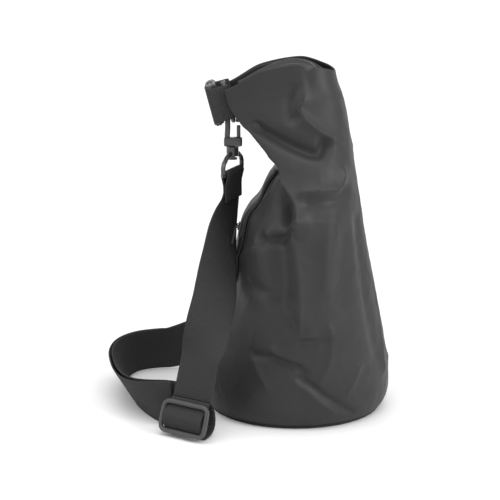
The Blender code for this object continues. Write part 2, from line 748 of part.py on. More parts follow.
def make_strap(adjuster_parent, upper_eye_parent, lower_eye_parent, upper_frame, lower_frame, eye_turn):
    """The shoulder strap: its sewn ends ride on the hooks and the adjuster, the rest is one piece."""
    across, up, out = adjuster_axes()
    thick = WEBBING_THICK
    clear = 2.1 + GAP + thick / 2
    half = thick / 2 + 0.2

    # The upper end, folded round the hook's eye and sewn to itself.
    eye = upper_frame @ Matrix.Rotation(eye_turn, 4, "Z")
    side = eye.to_3x3() @ Vector((1, 0, 0))
    fold = ((half, -44), (half, -31), (1.7, -26), *arc((0, EYE_BAR_Z), clear, -20, 200), (-1.7, -26),
            (-half, -31), (-half, -44))
    stations = folded(fold, side, lambda a, b: (eye @ (Vector((0, a, b)) * MM)) / MM)
    finish(ribbon("strap_upper_end", stations, WEBBING, thick), "webbing", upper_eye_parent)

    # The front run, down to the adjuster.
    straight = [(*adjuster_point(q, -6.6), ADJUSTER_TURN, 0) for q in (54, 42, 30, 22)]
    front = strap_stations((*STRAP_TOP, *straight))
    finish(ribbon("strap_front_run", [(c, side) for c, side, _ in front], WEBBING, thick), "webbing")

    # The bend over the centre bar and behind the outer bars, which travels with the adjuster.
    bends = ((15.0, -4.4), (12.8, -4.0), (6.2, 0.7), (0, 3.4), (-6.2, 0.6), (-12.8, -4.2), (-14.0, -6.2))
    bend = strap_stations([(*adjuster_point(q, n), ADJUSTER_TURN, 0) for q, n in bends])
    ribs = [(c, side) for c, side, _ in bend]
    finish(ribbon("strap_adjuster_bend", ribs, WEBBING, thick), "webbing", adjuster_parent)

    # The ground run, from under the adjuster round to the lower hook.
    lower_tail = (lower_frame @ (Vector((0, half, -42.6)) * MM)) / MM
    before = (lower_frame @ (Vector((0, half, -52)) * MM)) / MM
    last = [(*p, -270, 90 - math.degrees(ANCHOR_PITCH)) for p in (before, lower_tail)]
    first = (*adjuster_point(-13.8, -9.0), ADJUSTER_TURN, 0)
    ground = strap_stations((first, *STRAP_GROUND, *last))
    finish(ribbon("strap_ground_run", [(c, side) for c, side, _ in ground], WEBBING, thick), "webbing")

    # The return run, outside the ground run, from the lower hook back towards the adjuster.
    outer = strap_stations((*STRAP_GROUND[4:], *last))
    lifts = [2 * half + 1.8 * math.cos(math.pi * k / (2 * len(outer) - 2)) for k in range(len(outer))]
    back = [(centre + lift * ahead.cross(side), side) for lift, (centre, side, ahead) in zip(lifts, outer)]
    finish(ribbon("strap_return_run", back, WEBBING, thick), "webbing")

    # The sewn loop round the adjuster's centre bar.
    centre = (0, ADJUSTER_BAR_SET_BACK)
    loop = ((-2.0, -10), (-1.8, -7.6), (-1.2, -5.2), *arc(centre, 2.6, 275, 520), (-3.3, -5.4), (-3.8, -7.6),
            (-3.9, -10))
    stations = folded(loop, across, adjuster_point)
    finish(ribbon("strap_adjuster_end", stations, WEBBING, thick), "webbing", adjuster_parent)

    # The lower end, folded round the lower hook's eye.
    side = lower_frame.to_3x3() @ Vector((1, 0, 0))
    fold = [(a, max(b, -40)) for a, b in fold]
    stations = folded(fold, side, lambda a, b: (lower_frame @ (Vector((0, a, b)) * MM)) / MM)
    finish(ribbon("strap_lower_end", stations, WEBBING, thick), "webbing", lower_eye_parent)


def make_anchor(cage, parent):
    """The welded patch low on the -X side, its webbing loop and the D-ring in it."""
    rows = [[raised(cage, 11.45 + 1.1 * k / 8, 2.5 + 1.2 * r / 6, 0.5) for k in range(9)]
            for r in range(7)]
    finish(shell_of("anchor_patch", rows, 1.0), "coated_fabric")
    x, y, z = ANCHOR
    clear = 2 + GAP + WEBBING_THICK / 2
    path = ((x + 3.2, y + 24), (x + 3.1, y + 12), *arc((x, y), clear, 0, -180), (x - 2.4, y + 5), (x + 0.6, y + 12),
            (x + 1.5, y + 24))
    pitch = anchor_pitch()
    stations = folded(path, pitch @ Vector((0, 0, 1)),
                      lambda a, b: ANCHOR + pitch @ Vector((a - x, b - y, 0)))
    finish(ribbon("anchor_loop", stations, ANCHOR_WEBBING, WEBBING_THICK), "webbing")


# ---------------------------------------------------------------- the whole bag

def main():
    cage = bag_cage()
    make_bag_body(cage)
    make_base_panel()
    make_base_tape()
    make_rolled_mouth()
    make_pocket(cage)
    make_zip_slider(cage)

    male = joint_empty("joint_buckle", closure_point(-13, BUCKLE_Y))
    arms = {s: joint_empty(f"joint_release_arm_{word}", closure_point(-8.4, BUCKLE_Y, s * 12.3))
            for s, word in ((1, "top"), (-1, "bottom"))}
    make_closure_tabs(male)
    make_buckle(male, arms)

    upper_frame, upper_contact = upper_hook_frame()
    eye_turn = math.radians(STRAP_TOP[0][3])
    upper_ring = joint_empty("joint_d_ring_upper", closure_point(BUCKLE_BAR_X, D_RING_Y))
    make_d_ring("d_ring_upper", upper_ring,
                lambda a, b: closure_point(BUCKLE_BAR_X - a, D_RING_Y, b))
    upper_hook = joint_empty("joint_upper_hook", upper_contact)
    upper_gate = joint_empty("joint_upper_gate", (upper_frame @ (Vector((0, GATE_Y, GATE_PIVOT_Z)) * MM)) / MM)
    upper_eye = joint_empty("joint_upper_eye", upper_frame.translation / MM)
    make_snap_hook("upper_hook", upper_frame, eye_turn, upper_hook, upper_gate, upper_eye)

    lower_frame, lower_contact = lower_hook_frame()
    lower_ring = joint_empty("joint_d_ring_lower", ANCHOR)
    make_anchor(cage, lower_ring)
    make_d_ring("d_ring_lower", lower_ring, lambda a, b: ANCHOR + anchor_pitch() @ Vector((0, -a, b)))
    lower_hook = joint_empty("joint_lower_hook", lower_contact)
    lower_gate = joint_empty("joint_lower_gate", (lower_frame @ (Vector((0, GATE_Y, GATE_PIVOT_Z)) * MM)) / MM)
    lower_eye = joint_empty("joint_lower_eye", lower_frame.translation / MM)
    make_snap_hook("lower_hook", lower_frame, 0.0, lower_hook, lower_gate, lower_eye)

    adjuster = joint_empty("joint_adjuster", ADJUSTER_CENTRE)
    make_adjuster(adjuster)
    make_strap(adjuster, upper_eye, lower_eye, upper_frame, lower_frame, eye_turn)


clear_scene()
PARTS, CUTTERS = make_collections()
SHADES = {name: make_material(name) for name in MATERIALS}
main()
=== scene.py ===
"""The roll-top bag as it stands: folded fabric body, rolled mouth, webbing, thread and hardware."""
import json
import math

import bpy
import numpy as np
from mathutils import Matrix, Vector, noise


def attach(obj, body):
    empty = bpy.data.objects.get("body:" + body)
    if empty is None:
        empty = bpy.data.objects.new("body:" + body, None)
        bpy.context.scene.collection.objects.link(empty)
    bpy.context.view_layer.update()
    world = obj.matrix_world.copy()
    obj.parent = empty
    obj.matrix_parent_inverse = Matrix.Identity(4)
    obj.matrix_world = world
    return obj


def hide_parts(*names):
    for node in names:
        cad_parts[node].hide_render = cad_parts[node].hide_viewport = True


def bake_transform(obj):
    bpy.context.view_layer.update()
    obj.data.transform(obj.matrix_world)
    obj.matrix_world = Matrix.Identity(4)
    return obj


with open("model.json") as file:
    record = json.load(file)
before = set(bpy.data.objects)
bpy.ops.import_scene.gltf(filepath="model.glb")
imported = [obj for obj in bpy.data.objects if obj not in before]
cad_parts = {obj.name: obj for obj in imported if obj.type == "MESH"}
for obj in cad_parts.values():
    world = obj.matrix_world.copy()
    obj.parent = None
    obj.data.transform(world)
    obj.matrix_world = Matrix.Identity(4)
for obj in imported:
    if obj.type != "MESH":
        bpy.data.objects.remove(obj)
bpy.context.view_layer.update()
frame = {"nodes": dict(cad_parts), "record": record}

MM = 0.001
# noise_vector, which makes the roll uneven, would otherwise be seeded by the clock.
noise.seed_set(7)

# The cage of the bag's fabric, in millimetres: half-rings from the back centre round +X to the front.
HALF = 8
BASE_RADIUS = 80
MOUTH_RINGS = (
    ((0, 56, 211), (38, 52, 213), (68, 39, 215), (80, 18, 215), (72, -4, 221),
     (60, -12, 207), (50, -30, 195), (26, -40, 191), (0, -44, 191)),
    ((0, 50, 245), (31, 47, 247), (53, 31, 251), (58, 2, 251), (46, -36, 243),
     (42, -18, 231), (38, -12, 221), (26, -15, 219), (0, -18, 221)),
    ((0, 44, 281), (27, 41, 283), (43, 22, 288), (40, -20, 283), (27, -74, 264),
     (31, -22, 273), (29, 8, 271), (18, 22, 267), (0, 25, 265)),
    ((0, 38, 303), (25, 35, 306), (40, 18, 311), (36, -22, 306), (27, -79, 283),
     (31.5, -24, 301), (31.5, 11, 299), (19.5, 26, 295), (0, 28, 293)),
    ((0, 35, 317), (23, 33, 319), (38, 15, 325), (34.5, -24, 321), (27, -83, 299),
     (30.5, -24, 319), (30.5, 9, 323), (17.5, 24.5, 317), (0, 27, 315)),
)
# The webbing, the closure and the hardware that the webbing runs through, in millimetres.
GAP = 0.3
WEBBING = 40
WEBBING_THICK = 1.4
TAB_WIDTH = 30
TAB_THICK = 1.5
ROLL_HEIGHT = 34
ROLL_LEAN = math.radians(15)
ROLL_END_X = 21.6
ROLL_ROUTE = ((0, 19, 298), (10, 17, 299), (18, 9, 303), (21.8, -8, 304), (22.3, -30, 295),
              (21.9, -46, 285.5), (21.6, -56.0, 281.8))
CLOSURE_CENTRE = Vector((0, -67, 279))
BUCKLE_BAR_X = 22.5
BUCKLE_Y = -5.5
D_RING_Y = 7.2
D_RING_RADIUS = 17.5
UPPER_HOOK_X = 12.5
HOOK_WIRE_Z = 28.4
HOOK_WIRE_Y = 0.6
EYE_BAR_Z = -20
ANCHOR = Vector((-94.6, 2, 66))
ANCHOR_PITCH = math.radians(20)
ANCHOR_WEBBING = 25
ADJUSTER_CENTRE = Vector((101, -98, 17))
ADJUSTER_TURN = -124
ADJUSTER_LEAN = math.radians(20)
ADJUSTER_BAR_SET_BACK = -1.4
# The strap's route: centre point, then the heading of its width and how far that dips, in degrees.
STRAP_TOP = (
    (12.5, -61.2, 186, -20, 0), (16, -62.2, 178, -26, 0), (26, -64.9, 166, -32, 0),
    (37, -66.9, 151, -41, 0), (47, -69.1, 136, -50, 0), (55, -70.5, 124, -58, 0),
    (63, -72.4, 112, -66, 0), (71, -76, 97, -79, 0), (76.5, -79.5, 82, -98, 0),
)
STRAP_GROUND = (
    (90, -90.5, 3.2, -124, 2), (83, -88, 6.5, -126, 16), (78, -90.5, 12, -124, 36),
    (74, -97, 16.5, -116, 62), (70, -108, 20, -101, 88), (62, -122, 19.5, -84, 106),
    (45, -137, 18.5, -70, 117), (22, -149, 18.5, -74, 121), (-8, -158, 19.5, -78, 120),
    (-36, -164, 21, -88, 112), (-62, -163, 21.4, -112, 101), (-82, -153, 21.4, -150, 93),
    (-92, -138, 21.4, -215, 90), (-96.5, -118, 22, -270, 90),
)
# How far along the fabric each ring lies from the base, in millimetres.
RING_LENGTH = (0, 4, 22, 57, 97, 137, 176, 214, 249, 285, 308, 324)


# ---------------------------------------------------------------- geometry helpers

def catmull_rom(points, per_span):
    ends = [[2 * a - b for a, b in zip(points[0], points[1])],
            [2 * a - b for a, b in zip(points[-1], points[-2])]]
    held = [ends[0], *points, ends[1]]
    curve = []
    for p0, p1, p2, p3 in zip(held, held[1:], held[2:], held[3:]):
        for k in range(per_span):
            t = k / per_span
            curve.append([0.5 * (2 * b + (c - a) * t + (2 * a - 5 * b + 4 * c - d) * t * t
                                 + (3 * b - a - 3 * c + d) * t ** 3)
                          for a, b, c, d in zip(p0, p1, p2, p3)])
    curve.append(list(points[-1]))
    return curve


def resampled(curve, step):
    lengths = [0.0]
    for a, b in zip(curve, curve[1:]):
        lengths.append(lengths[-1] + math.dist(a[:3], b[:3]))
    count = max(2, round(lengths[-1] / step))
    spaced, i = [], 0
    for k in range(count + 1):
        at = lengths[-1] * k / count
        while i < len(lengths) - 2 and lengths[i + 1] < at:
            i += 1
        t = (at - lengths[i]) / max(lengths[i + 1] - lengths[i], 1e-9)
        spaced.append([a + (b - a) * t for a, b in zip(curve[i], curve[i + 1])])
    return spaced


def arc(centre, radius, start, end, count=10):
    angles = [math.radians(start + (end - start) * k / count) for k in range(count + 1)]
    return tuple((centre[0] + radius * math.cos(t), centre[1] + radius * math.sin(t)) for t in angles)


def girth(z_back, z_front, y_back, y_front, half_width):
    middle, reach = (y_back + y_front) / 2, (y_back - y_front) / 2
    ring = []
    for k in range(HALF + 1):
        turn = math.pi * k / HALF
        z = z_back + (z_front - z_back) * k / HALF
        ring.append((half_width * math.sin(turn), middle + reach * math.cos(turn), z))
    return tuple(ring)


def bag_cage():
    spread = 1 / (2 / 3 + math.cos(math.pi / HALF) / 3)
    foot = BASE_RADIUS * spread
    halves = (
        girth(2.2, 2.2, foot - 1, 1 - foot, foot - 1),
        girth(6, 6, foot + 4, -foot - 2, foot + 4),
        girth(24, 24, 90, -85, 89),
        girth(59, 59, 85, -77, 89),
        girth(99, 99, 77, -64, 91),
        girth(139, 137, 69, -56, 92),
        girth(177, 167, 62, -50, 89),
    ) + MOUTH_RINGS
    rings = []
    for half in halves:
        mirrored = [(-x, y, z) for x, y, z in half[-2:0:-1]]
        rings.append([p for p in (*half, *mirrored)])
    return np.array(rings, float)


def mesh_object(name, points, faces):
    mesh = bpy.data.meshes.new(name)
    mesh.from_pydata([tuple(p) for p in points], [], faces)
    mesh.validate()
    mesh.update()
    obj = bpy.data.objects.new(name, mesh)
    bpy.context.scene.collection.objects.link(obj)
    mesh.shade_smooth()
    return obj


def grid_object(name, rows, closed=False, caps=False):
    """A surface through rows of points in metres, with UVs that run 0 to 1 across and in metres along."""
    rows = np.asarray(rows, float)
    count, width = rows.shape[:2]
    faces, loops_uv = [], []
    along = np.concatenate([[0], np.cumsum(np.linalg.norm(np.diff(rows.mean(1), axis=0), axis=1))])
    wrap = width if closed else width - 1
    for r in range(count - 1):
        for k in range(wrap):
            j = (k + 1) % width
            faces.append((r * width + k, r * width + j, (r + 1) * width + j, (r + 1) * width + k))
            u0, u1, v0, v1 = k / wrap, (k + 1) / wrap, along[r], along[r + 1]
            loops_uv += [u0, v0, u1, v0, u1, v1, u0, v1]
    if caps:
        faces += [tuple(range(width))[::-1], tuple(range((count - 1) * width, count * width))]
        loops_uv += [0.0, 0.0] * (2 * width)
    obj = mesh_object(name, rows.reshape(-1, 3), faces)
    layer = obj.data.uv_layers.new(name="UVMap")
    if len(layer.data) * 2 == len(loops_uv):
        layer.data.foreach_set("uv", loops_uv)
    return obj


def solidify(obj, thickness, offset):
    modifier = obj.modifiers.new("thickness", "SOLIDIFY")
    modifier.thickness = thickness * MM
    modifier.offset = offset
    modifier.use_even_offset = False


def smoothstep(low, high, x):
    t = np.clip((np.asarray(x, float) - low) / (high - low), 0, 1)
    return t * t * (3 - 2 * t)


# ---------------------------------------------------------------- materials

class Shader:
    """A Principled material that is built up node by node."""

    def __init__(self, name, base, roughness, metallic=0.0, specular=0.5):
        self.material = bpy.data.materials.new(name)
        self.material.use_nodes = True
        self.nodes, self.links = self.material.node_tree.nodes, self.material.node_tree.links
        self.bsdf = self.nodes["Principled BSDF"]
        self.bsdf.inputs["Base Color"].default_value = (*base, 1)
        self.bsdf.inputs["Roughness"].default_value = roughness
        self.bsdf.inputs["Metallic"].default_value = metallic
        self.bsdf.inputs["Specular IOR Level"].default_value = specular
        self.height = None

    def node(self, kind, **values):
        made = self.nodes.new(kind)
        for key, value in values.items():
            if key in made.inputs:
                made.inputs[key].default_value = value
            else:
                setattr(made, key, value)
        return made

    def coordinates(self, kind="Object", scale=(1, 1, 1)):
        source = self.node("ShaderNodeTexCoord")
        mapping = self.node("ShaderNodeMapping")
        mapping.inputs["Scale"].default_value = scale
        self.links.new(source.outputs[kind], mapping.inputs["Vector"])
        return mapping.outputs["Vector"]

    def noise(self, scale, detail=3.0, where=None):
        made = self.node("ShaderNodeTexNoise", Scale=scale, Detail=detail)
        self.links.new(where or self.coordinates(), made.inputs["Vector"])
        return made.outputs["Fac"]

    def ramp(self, source, low, high, start=0.3, end=0.7):
        made = self.node("ShaderNodeMapRange")
        made.inputs["From Min"].default_value = start
        made.inputs["From Max"].default_value = end
        made.inputs["To Min"].default_value = low
        made.inputs["To Max"].default_value = high
        self.links.new(source, made.inputs["Value"])
        return made.outputs["Result"]

    def colour(self, source, dark, light, start=0.3, end=0.7):
        mix = self.node("ShaderNodeMix", data_type="RGBA")
        mix.inputs[6].default_value = (*dark, 1)
        mix.inputs[7].default_value = (*light, 1)
        self.links.new(self.ramp(source, 0, 1, start, end), mix.inputs[0])
        self.links.new(mix.outputs[2], self.bsdf.inputs["Base Color"])

    def rough(self, source, low, high, start=0.3, end=0.7):
        self.links.new(self.ramp(source, low, high, start, end), self.bsdf.inputs["Roughness"])

    def bump(self, source, strength, distance):
        made = self.node("ShaderNodeBump")
        made.inputs["Strength"].default_value = strength
        made.inputs["Distance"].default_value = distance
        self.links.new(source, made.inputs["Height"])
        if self.height:
            self.links.new(self.height, made.inputs["Normal"])
        self.height = made.outputs["Normal"]
        self.links.new(self.height, self.bsdf.inputs["Normal"])

    def waves(self, where, scale, bands="Y", profile="SIN"):
        made = self.node("ShaderNodeTexWave", Scale=scale)
        made.wave_type = "BANDS"
        made.bands_direction = bands
        made.wave_profile = profile
        self.links.new(where, made.inputs["Vector"])
        return made.outputs["Fac"]

    def multiply(self, a, b):
        made = self.node("ShaderNodeMath", operation="MULTIPLY")
        self.links.new(a, made.inputs[0])
        self.links.new(b, made.inputs[1])
        return made.outputs["Value"]


def make_materials():
    made = {}
    fabric = Shader("coated_fabric", (0.03, 0.03, 0.03), 0.55, specular=0.28)
    broad = fabric.noise(9, 4)
    fabric.colour(broad, (0.021, 0.0205, 0.021), (0.028, 0.0275, 0.028))
    fabric.rough(fabric.noise(60, 4), 0.46, 0.6)
    fabric.bump(fabric.noise(900, 3), 0.12, 0.0003)
    fabric.bump(fabric.noise(140, 4), 0.10, 0.0006)
    made["coated_fabric"] = fabric.material

    base = 0.034
    web = Shader("webbing", (base, base, base), 0.85, specular=0.25)
    uv = web.coordinates("UV", (1, 1, 1))
    ribs = web.waves(uv, 210, "Y")
    yarns = web.waves(uv, 14, "X")
    web.colour(web.multiply(ribs, yarns), (base * 0.8,) * 3, (base * 1.2,) * 3, 0.0, 0.8)
    web.bump(ribs, 0.5, 0.0005)
    web.bump(yarns, 0.35, 0.0004)
    web.bump(web.noise(1500, 2), 0.25, 0.0002)
    made["webbing"] = web.material

    plastic = Shader("moulded_plastic", (0.045, 0.045, 0.046), 0.42, specular=0.5)
    plastic.rough(plastic.noise(120, 3), 0.36, 0.5)
    plastic.bump(plastic.noise(1800, 2), 0.10, 0.0002)
    made["moulded_plastic"] = plastic.material

    metal = Shader("black_metal", (0.035, 0.035, 0.037), 0.22, specular=0.8)
    metal.rough(metal.noise(90, 4), 0.16, 0.32)
    metal.bump(metal.noise(400, 3), 0.05, 0.0003)
    made["black_metal"] = metal.material

    tape = Shader("zip_tape", (0.04, 0.04, 0.04), 0.35, specular=0.5)
    tape.rough(tape.noise(200, 3), 0.28, 0.45)
    tape.bump(tape.noise(900, 2), 0.15, 0.0002)
    made["zip_tape"] = tape.material

    strip = Shader("stiffener", (0.07, 0.07, 0.07), 0.6)
    strip.rough(strip.noise(100, 3), 0.5, 0.7)
    made["stiffener"] = strip.material

    thread = Shader("thread", (0.03, 0.03, 0.03), 0.7)
    thread.bump(thread.noise(4000, 2), 0.3, 0.0002)
    made["thread"] = thread.material

    floor = Shader("floor", (0.86, 0.86, 0.865), 0.55, specular=0.2)
    floor.colour(floor.noise(3, 3), (0.85, 0.85, 0.855), (0.87, 0.87, 0.873))
    floor.bump(floor.noise(300, 2), 0.03, 0.0005)
    made["floor"] = floor.material
    return made


SHADES = make_materials()


def paint(obj, name):
    obj.data.materials.clear()
    obj.data.materials.append(SHADES[name])
    return obj


# ---------------------------------------------------------------- the body

# Folds of the fabric: height and half width of the fold in mm, then the points it runs through.
# A fold with a sharp crest has its third value true. The camera side (+X) first.
FOLDS = (
    (9.0, 6, True, ((60, -24, 232), (64, -11, 217), (73, -3, 205), (80, 1, 189), (82, -2, 182))),
    (-13.0, 8, False, ((52, -22, 220), (62, -16, 208), (70, -10, 196), (74, -8, 187))),
    (4.0, 9, False, ((35, -39, 182), (33, -32, 196), (20, -26, 209))),
    (-8.0, 6, False, ((40, -36, 262), (46, -24, 256), (53, -8, 249), (58, 6, 244), (60, 18, 243),
                      (56, 24, 250))),
    (6.0, 5, True, ((38, 6, 309), (41, 5, 288), (44, 1, 279), (46, 4, 272), (49, 10, 264),
                    (51, 20, 257), (50, 29, 252))),
    (-5.0, 6, False, ((42, -4, 300), (44, -6, 285), (47, -4, 272))),
    (4.0, 5, True, ((54, 39, 225), (59, 38, 217), (66, 34, 212), (74, 19, 211), (77, 5, 210))),
    (-3.5, 6, False, ((58, 40, 208), (68, 32, 203), (76, 18, 202), (79, 8, 201))),
    (7.0, 6, True, ((81, 1, 185), (80, -5, 181), (75, -15, 176), (68, -26, 172))),
    (-8.0, 6, False, ((80, -8, 176), (74, -18, 171), (64, -30, 166))),
    (7.0, 9, True, ((82, -5, 176), (86, -2, 160), (89, 1, 131), (88, 2, 92))),
    (-6.5, 11, False, ((78, -16, 164), (82, -13, 145), (84, -12, 122))),
    (5.0, 7, True, ((28, -51, 140), (45, -45, 149), (58, -37, 157), (70, -24, 170))),
    (-3.0, 6, False, ((52, -45, 125), (66, -36, 124), (78, -24, 121), (86, -10, 107), (89, 2, 93))),
    (2.5, 4, True, ((83, -19, 73), (84, -12, 80), (88, -1, 86), (89, 12, 87))),
    (-2.6, 5, False, ((88, 4, 82), (87, 16, 81), (84, 27, 82))),
    (-3.0, 4, False, ((73, -38, 66), (82, -23, 66), (86, -12, 62), (88, -1, 59), (88, 6, 54))),
    (3.0, 4, True, ((84, -20, 72), (87, -8, 68), (89, 4, 63))),
    (-3.0, 4, False, ((87, 1, 49), (86, 12, 42), (84, 24, 31), (78, 37, 21), (70, 48, 12))),
    (2.6, 4, True, ((88, -2, 44), (88, 9, 37), (86, 20, 27), (80, 32, 17))),
    (2.5, 4, True, ((67, 55, 54), (70, 52, 46), (75, 44, 32))),
    (3.0, 6, True, ((84, 28, 92), (84, 30, 77), (84, 27, 60), (86, 19, 45))),
    (2.5, 5, True, ((73, -38, 62), (77, -33, 51), (81, -26, 39))),
    (3.0, 8, False, ((80, 36, 190), (84, 26, 160), (86, 24, 130))),
    (-2.5, 9, False, ((70, 46, 170), (76, 42, 140), (78, 40, 110))),
)
# The front, the back and the far side.
MORE_FOLDS = (
    (2.0, 6, True, ((-8, -62, 120), (6, -66, 92), (22, -68, 70))),
    (-2.4, 7, False, ((-20, -60, 112), (-4, -66, 80), (18, -72, 52))),
    (2.4, 6, True, ((-52, -48, 96), (-40, -60, 66), (-30, -70, 40))),
    (2.6, 7, True, ((-30, 62, 190), (-22, 68, 150), (-34, 74, 100), (-30, 80, 60))),
    (-3.0, 9, False, ((-6, 62, 200), (0, 70, 150), (-8, 78, 90))),
    (2.6, 7, True, ((28, 60, 196), (32, 68, 150), (24, 76, 96), (34, 78, 44))),
    (-2.4, 8, False, ((48, 56, 180), (52, 62, 120), (44, 70, 60))),
    (2.6, 5, True, ((-12, 84, 36), (10, 82, 46), (34, 76, 40))),
    (2.2, 5, True, ((0, 52, 240), (-18, 54, 226), (-36, 50, 216))),
)


def spline_weights(t):
    t = np.asarray(t, float)
    return np.stack([(1 - t) ** 3 / 6, (3 * t ** 3 - 6 * t * t + 4) / 6,
                     (-3 * t ** 3 + 3 * t * t + 3 * t + 1) / 6, t ** 3 / 6], -1)


CAGE = bag_cage()
PADDED = np.concatenate([2 * CAGE[:1] - CAGE[1:2], CAGE, 2 * CAGE[-1:] - CAGE[-2:-1]])


def smooth_point(column, row):
    """Points of the smooth outer surface, in mm, for arrays of columns and rows of the cage."""
    rows, around = CAGE.shape[:2]
    row = np.clip(np.asarray(row, float), 0, rows - 1)
    column, row = np.broadcast_arrays(np.asarray(column, float), row)
    r = np.minimum(row.astype(int), rows - 2)
    c = np.floor(column).astype(int)
    row_weights, column_weights = spline_weights(row - r), spline_weights(column - c)
    point = np.zeros((*column.shape, 3))
    for i in range(4):
        for j in range(4):
            weight = row_weights[..., i] * column_weights[..., j]
            point += weight[..., None] * PADDED[r + i, (c + j - 1) % around]
    return point


def distance_to_line(points, line):
    best = np.full(points.shape[:-1], 1e9)
    for a, b in zip(line, line[1:]):
        a, b = np.array(a, float), np.array(b, float)
        t = np.clip(((points - a) @ (b - a)) / ((b - a) @ (b - a)), 0, 1)
        best = np.minimum(best, np.linalg.norm(points - (a + t[..., None] * (b - a)), axis=-1))
    return best


def fold_strokes():
    strokes = [*FOLDS, *MORE_FOLDS]
    for height, width, sharp, line in FOLDS:
        strokes.append((height * 0.8, width * 1.1, sharp, tuple((-x, y + 4, z - 6) for x, y, z in line)))
    return strokes


def value_noise(points, size, seed):
    flat = points.reshape(-1, 3) / size
    values = [noise.noise(Vector((x + seed, y, z))) for x, y, z in flat]
    return np.array(values).reshape(points.shape[:-1])


def fold_height(points):
    """How far the fabric stands out from the smooth surface, in mm."""
    lift = np.zeros(points.shape[:-1])
    for height, width, sharp, line in fold_strokes():
        curve = catmull_rom([list(p) for p in line], 4)
        away = distance_to_line(points, curve)
        lift += height * (np.exp(-away / (0.75 * width)) if sharp else np.exp(-(away / width) ** 2))
    lift += 0.8 * value_noise(points * (1, 1, 0.6), 40, 3.7)
    creases = 1 - np.abs(value_noise(points * (1, 1, 0.8), 21, 11.3)) * 4
    lift += 0.35 * np.clip(creases, 0, 1) ** 2
    lift += 0.12 * value_noise(points, 5.5, 31.0)
    z = points[..., 2]
    hold = smoothstep(3, 16, z) * (1 - 0.75 * smoothstep(286, 312, z))
    return lift * hold


def settled(point):
    """The points in mm, with the rim as it sags in front, over the buckle, and at the back."""
    point = np.array(point, float)
    x, y, z = point[..., 0], point[..., 1], point[..., 2]
    notch = 5 * np.exp(-((y - 9) / 4.5) ** 2) * smoothstep(14, 30, x) * smoothstep(292, 316, z)
    front = 7 * smoothstep(-30, -62, y) * smoothstep(262, 300, z)
    point[..., 2] = z - notch - front - (8 + 3 * smoothstep(4, 26, y)) * smoothstep(272, 316, z)
    return point


def fabric(column, row, lift=0.0):
    """Points of the folded fabric, in mm, raised by lift along the smooth surface's normal."""
    step = 0.05
    point = smooth_point(column, row)
    along = smooth_point(column + step, row) - smooth_point(column - step, row)
    up = smooth_point(column, np.add(row, step)) - smooth_point(column, np.subtract(row, step))
    normal = np.cross(up, along)
    normal /= np.linalg.norm(normal, axis=-1, keepdims=True)
    past_middle = np.asarray(column) - HALF
    front = (np.exp(-(past_middle / 1.35) ** 2) * smoothstep(2.2, 3.4, row)
             * (1 - smoothstep(8.6, 9.6, row)))
    roof = np.exp(-(past_middle / 2.0) ** 2) * np.exp(-((point[..., 2] - 196) / 14) ** 2)
    return settled(point + (fold_height(point) * (1 - 0.75 * front) - 7 * roof + lift)[..., None] * normal)


def make_body():
    columns, count = ((300, 210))
    row_values = body_rows(count)
    column = np.linspace(0, 2 * HALF, columns, endpoint=False)
    points = fabric(column[None, :], row_values[:, None])
    body = grid_object("bag_fabric", points * MM, closed=True)
    solidify(body, 1.1, offset=1.0)
    paint(body, "coated_fabric")
    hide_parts("bag_body")
    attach(body, "bag")


def body_rows(count):
    """Cage rows that lie evenly along the fabric, from the base to the rim."""
    fine = np.linspace(0, len(RING_LENGTH) - 1, 400)
    lengths = np.interp(fine, np.arange(len(RING_LENGTH)), RING_LENGTH)
    wanted = np.linspace(0, RING_LENGTH[-1], count)
    return np.interp(wanted, lengths, fine)


def sheet(name, columns, rows, lift, thickness, shade, nodes):
    """A welded sheet on the fabric, between two columns and two rows of the cage."""
    low_column, high_column, count = columns
    low_row, high_row, height = rows
    column = np.linspace(low_column, high_column, count)
    row = np.linspace(low_row, high_row, height)
    points = fabric(column[None, :], row[:, None], lift)
    obj = grid_object(name, points * MM)
    solidify(obj, thickness, offset=-1.0)
    paint(obj, shade)
    if nodes:
        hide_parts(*nodes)
    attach(obj, "bag")


def make_pocket():
    sheet("pocket_face", (7.0, 9.0, 60), (4.6, 8.0, 120), 0.7, 1.0, "coated_fabric", ["pocket_panel"])
    for name, low, high in (("weld_left", 8.88, 9.0), ("weld_right", 7.0, 7.08)):
        sheet(name, (low, high, 6), (4.6, 8.0, 120), 0.9, 0.6, "coated_fabric", ())
    sheet("weld_foot", (7.0, 9.0, 60), (4.6, 4.72, 6), 1.1, 0.7, "coated_fabric", ())
    sheet("zip_border", (7.07, 7.47, 18), (5.74, 7.96, 90), 1.2, 0.6, "coated_fabric", ())
    column = np.linspace(7.10, 7.44, 33)
    across = (column - 7.27) / 0.17
    lips = 0.95 * np.exp(-((np.abs(across) - 0.26) / 0.17) ** 2) - 0.5 * np.exp(-(across / 0.06) ** 2)
    row = np.linspace(5.8, 7.9, 160)
    tape = grid_object("zip_lips", fabric(column[None, :], row[:, None], 1.9 + lips[None, :]) * MM)
    solidify(tape, 0.9, offset=-1.0)
    paint(tape, "zip_tape")
    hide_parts("zip_tape")
    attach(tape, "bag")
    sheet("patch_face", (11.45, 12.55, 40), (2.5, 3.7, 40), 0.9, 1.0, "coated_fabric", ["anchor_patch"])


# ---------------------------------------------------------------- the rolled mouth

def roll_frames(step):
    half = [list(p) for p in ROLL_ROUTE]
    whole = [[-x, y, z] for x, y, z in half[:0:-1]] + half
    line = resampled(catmull_rom(whole, 8), step)
    frames = []
    for k, point in enumerate(line):
        ahead = Vector(line[min(k + 2, len(line) - 1)]) - Vector(line[max(k - 2, 0)])
        ahead.z = 0
        ahead.normalize()
        lean = ROLL_LEAN * min(1, max(0, -point[1] / 50))
        frames.append((Vector(point), Vector((-ahead.y, ahead.x, 0)),
                       Vector((0, -math.sin(lean), math.cos(lean)))))
    return frames


